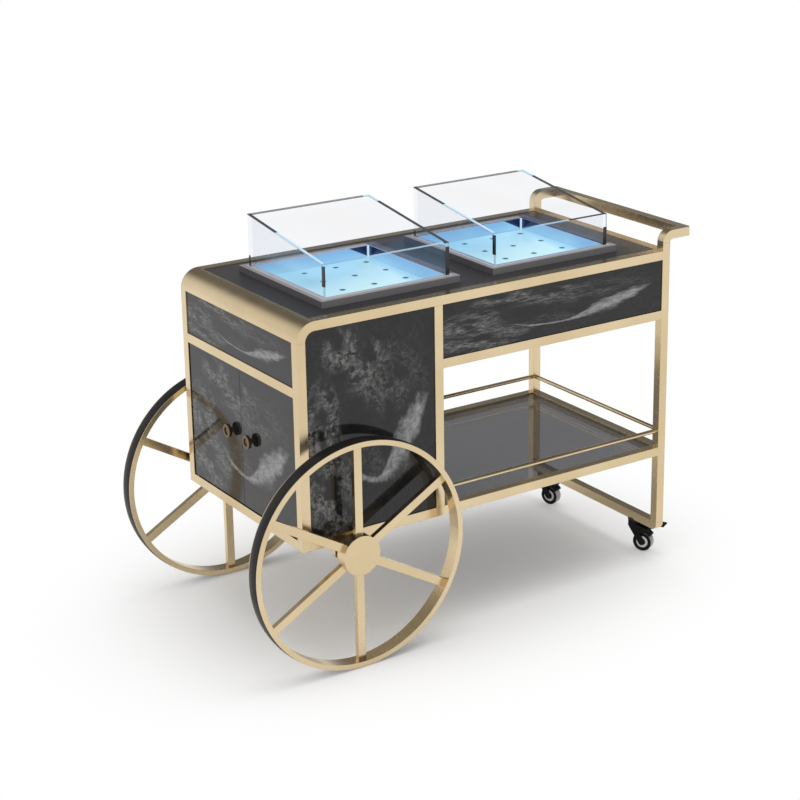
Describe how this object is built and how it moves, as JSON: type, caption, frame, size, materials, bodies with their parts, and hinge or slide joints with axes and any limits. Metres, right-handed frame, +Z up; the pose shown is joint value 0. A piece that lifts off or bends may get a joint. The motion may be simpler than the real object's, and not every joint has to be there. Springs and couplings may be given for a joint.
{
  "type": "serving trolley",
  "caption": "Wheeled serving trolley with lit glass-guarded wells on top, a two-door cabinet, an open bay with a glass shelf, a push handle, spoked wheels and swivel casters.",
  "frame": {"origin": "on the floor, at the middle of the whole trolley in length and width", "axes": "+X along the length towards the handle and the casters, +Y across the trolley away from the side with the lower glass panes, +Z up"},
  "size_m": [1.4239, 0.744, 1.077],
  "materials": {
    "gold_metal": "satin",
    "steel": "satin",
    "tyre": "matt",
    "caster_roller": "matt",
    "caster_plastic": "satin",
    "laminate": "semi-gloss stone-pattern laminate on board",
    "dark_top": "satin solid surface",
    "lit_floor": "translucent, lit from below",
    "light_bar": "lit diffuser",
    "clear_glass": "clear polished",
    "smoked_glass": "dark polished"
  },
  "bodies": {
    "frame": {"front_left_post": "gold_metal", "back_left_post": "gold_metal", "front_mid_post": "gold_metal", "back_mid_post": "gold_metal", "front_right_post": "gold_metal", "back_right_post": "gold_metal", "front_top_rail": "gold_metal", "back_top_rail": "gold_metal", "right_top_rail": "gold_metal", "corner_sheet": "gold_metal", "front_mid_rail": "gold_metal", "back_mid_rail": "gold_metal", "left_mid_rail": "gold_metal", "right_mid_rail": "gold_metal", "front_low_rail": "gold_metal", "back_low_rail": "gold_metal", "left_low_rail": "gold_metal", "middle_low_rail": "gold_metal", "right_low_rail": "gold_metal", "caster_beam": "gold_metal", "handle": "gold_metal", "axle": "steel", "axle_brackets": "gold_metal", "axle_fasteners": "steel", "caster_stems": "steel", "front_cabinet_panel": "laminate", "back_cabinet_panel": "laminate", "upper_end_panel": "laminate", "cabinet_divider": "laminate", "cabinet_floor": "laminate", "front_apron": "laminate", "back_apron": "laminate", "right_apron": "laminate", "door_pivots": "steel", "top_panel": "dark_top", "left_well_pan": "dark_top", "right_well_pan": "dark_top", "left_well_floor": "lit_floor", "right_well_floor": "lit_floor", "light_bars": "light_bar", "left_glass_guard": "clear_glass", "right_glass_guard": "clear_glass", "bay_shelf": "smoked_glass", "shelf_rods": "gold_metal"},
    "front_wheel": {"front_wheel_tyre": "tyre", "front_wheel_rim": "gold_metal", "front_wheel_spider": "gold_metal"},
    "back_wheel": {"back_wheel_tyre": "tyre", "back_wheel_rim": "gold_metal", "back_wheel_spider": "gold_metal"},
    "front_door_leaf": {"front_door": "laminate", "front_knob": "gold_metal"},
    "back_door_leaf": {"back_door": "laminate", "back_knob": "gold_metal"},
    "front_caster_swivel_body": {"front_caster_fork": "caster_plastic"},
    "front_caster_roller": {"front_caster_wheel": "caster_roller"},
    "front_caster_brake": {"front_brake_pedal": "caster_plastic"},
    "back_caster_swivel_body": {"back_caster_fork": "caster_plastic"},
    "back_caster_roller": {"back_caster_wheel": "caster_roller"},
    "back_caster_brake": {"back_brake_pedal": "caster_plastic"}
  },
  "joints": [
    {"name": "front_wheel_turn", "type": "hinge", "parent": "frame", "child": "front_wheel", "pos_m": [-0.406, -0.353, 0.306], "axis": [0, 1, 0], "continuous": true},
    {"name": "back_wheel_turn", "type": "hinge", "parent": "frame", "child": "back_wheel", "pos_m": [-0.406, 0.353, 0.306], "axis": [0, 1, 0], "continuous": true},
    {"name": "front_door_hinge", "type": "hinge", "parent": "frame", "child": "front_door_leaf", "pos_m": [-0.53, -0.268, 0.537], "axis": [0, 0, 1], "range_deg": [0, 95]},
    {"name": "back_door_hinge", "type": "hinge", "parent": "frame", "child": "back_door_leaf", "pos_m": [-0.53, 0.268, 0.537], "axis": [0, 0, -1], "range_deg": [0, 95]},
    {"name": "front_caster_swivel", "type": "hinge", "parent": "frame", "child": "front_caster_swivel_body", "pos_m": [0.6265, -0.192, 0.08], "axis": [0, 0, 1], "continuous": true},
    {"name": "front_caster_roll", "type": "hinge", "parent": "front_caster_swivel_body", "child": "front_caster_roller", "pos_m": [0.6415, -0.21798, 0.0285], "axis": [0.866, 0.5, 0], "continuous": true},
    {"name": "front_brake_press", "type": "hinge", "parent": "front_caster_swivel_body", "child": "front_caster_brake", "pos_m": [0.649, -0.23097, 0.0645], "axis": [0.866, 0.5, 0], "range_deg": [0, 14]},
    {"name": "back_caster_swivel", "type": "hinge", "parent": "frame", "child": "back_caster_swivel_body", "pos_m": [0.6265, 0.245, 0.08], "axis": [0, 0, 1], "continuous": true},
    {"name": "back_caster_roll", "type": "hinge", "parent": "back_caster_swivel_body", "child": "back_caster_roller", "pos_m": [0.63676, 0.21681, 0.0285], "axis": [0.9397, 0.342, 0], "continuous": true},
    {"name": "back_brake_press", "type": "hinge", "parent": "back_caster_swivel_body", "child": "back_caster_brake", "pos_m": [0.64189, 0.20271, 0.0645], "axis": [0.9397, 0.342, 0], "range_deg": [0, 14]}
  ]
}
